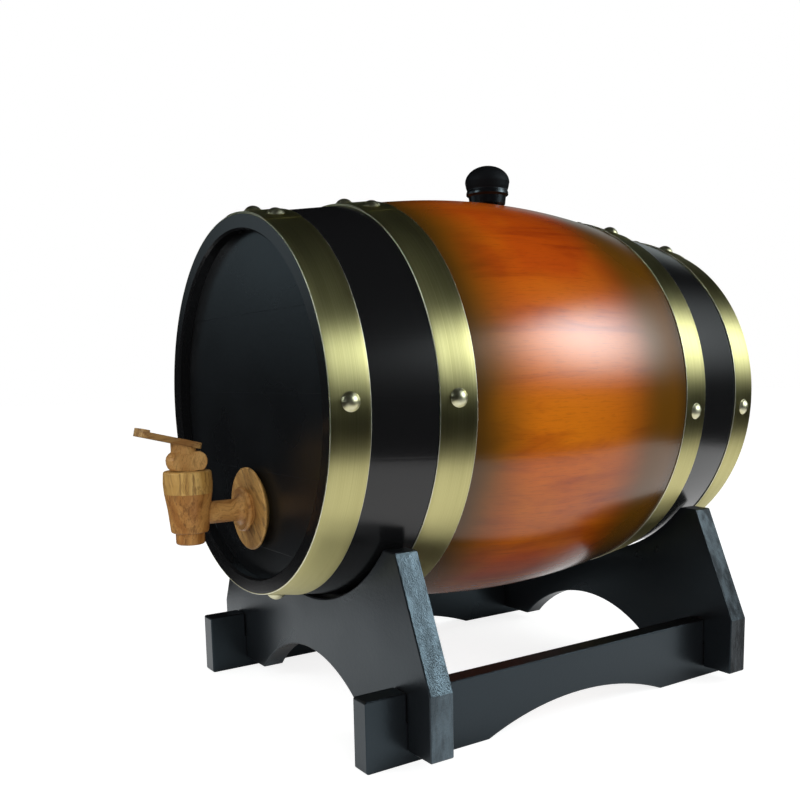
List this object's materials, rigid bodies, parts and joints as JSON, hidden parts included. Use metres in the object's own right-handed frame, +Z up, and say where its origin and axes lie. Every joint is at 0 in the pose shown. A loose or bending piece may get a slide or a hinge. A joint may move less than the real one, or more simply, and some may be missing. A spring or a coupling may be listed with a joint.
{
  "type": "oak cask liquor dispenser",
  "caption": "Small lacquered oak cask with brass hoops and black ends on a black cradle stand, with a wooden plug tap at the front and a pull-out bung on top.",
  "frame": {"origin": "on the floor under the middle of the object's whole length and width", "axes": "+Z up; the cask lies along Y, with the tap at the -Y end; +X is to the right seen from the tap's end"},
  "size_m": [0.1874, 0.273, 0.2422],
  "materials": {
    "lacquered_oak": "gloss lacquer, amber in the middle, black at the ends",
    "black_head": "satin black paint",
    "hoop_brass": "brushed round the cask",
    "rivet_brass": "polished",
    "gloss_black_wood": "gloss black lacquer",
    "pale_tap_wood": "oiled, satin",
    "brown_tap_wood": "oiled, satin",
    "black_stand": "satin black lacquer"
  },
  "bodies": {
    "stand": {"front_cradle": "black_stand", "rear_cradle": "black_stand", "left_rail": "black_stand", "right_rail": "black_stand"},
    "cask": {"bung_stave": "lacquered_oak", "stave_01": "lacquered_oak", "stave_02": "lacquered_oak", "stave_03": "lacquered_oak", "stave_04": "lacquered_oak", "stave_05": "lacquered_oak", "stave_06": "lacquered_oak", "stave_07": "lacquered_oak", "stave_08": "lacquered_oak", "stave_09": "lacquered_oak", "stave_10": "lacquered_oak", "stave_11": "lacquered_oak", "stave_12": "lacquered_oak", "stave_13": "lacquered_oak", "stave_14": "lacquered_oak", "stave_15": "lacquered_oak", "stave_16": "lacquered_oak", "stave_17": "lacquered_oak", "stave_18": "lacquered_oak", "stave_19": "lacquered_oak", "stave_20": "lacquered_oak", "stave_21": "lacquered_oak", "stave_22": "lacquered_oak", "front_head_board_1": "black_head", "front_head_board_2": "black_head", "front_head_board_3": "black_head", "front_head_board_4": "black_head", "front_head_board_5": "black_head", "rear_head_board_1": "black_head", "rear_head_board_2": "black_head", "rear_head_board_3": "black_head", "rear_head_board_4": "black_head", "rear_head_board_5": "black_head", "front_chime_hoop": "hoop_brass", "front_quarter_hoop": "hoop_brass", "rear_quarter_hoop": "hoop_brass", "rear_chime_hoop": "hoop_brass", "front_chime_rivets": "rivet_brass", "front_quarter_rivets": "rivet_brass", "rear_quarter_rivets": "rivet_brass", "rear_chime_rivets": "rivet_brass", "tap_rosette": "pale_tap_wood", "tap_shank": "pale_tap_wood", "tap_body": "brown_tap_wood", "tap_cup": "pale_tap_wood"},
    "bung": {"bung": "gloss_black_wood"},
    "tap_key": {"tap_key": "pale_tap_wood", "tap_handle": "pale_tap_wood"}
  },
  "joints": [
    {"name": "cask_lift", "type": "slide", "parent": "stand", "child": "cask", "axis": [0, 0, 1], "range_m": [0, 0.12]},
    {"name": "bung_pull", "type": "slide", "parent": "cask", "child": "bung", "axis": [0, 0, 1], "range_m": [0, 0.03]},
    {"name": "key_turn", "type": "hinge", "parent": "cask", "child": "tap_key", "pos_m": [0, -0.11693, 0.091], "axis": [0, 0, 1], "continuous": true}
  ]
}
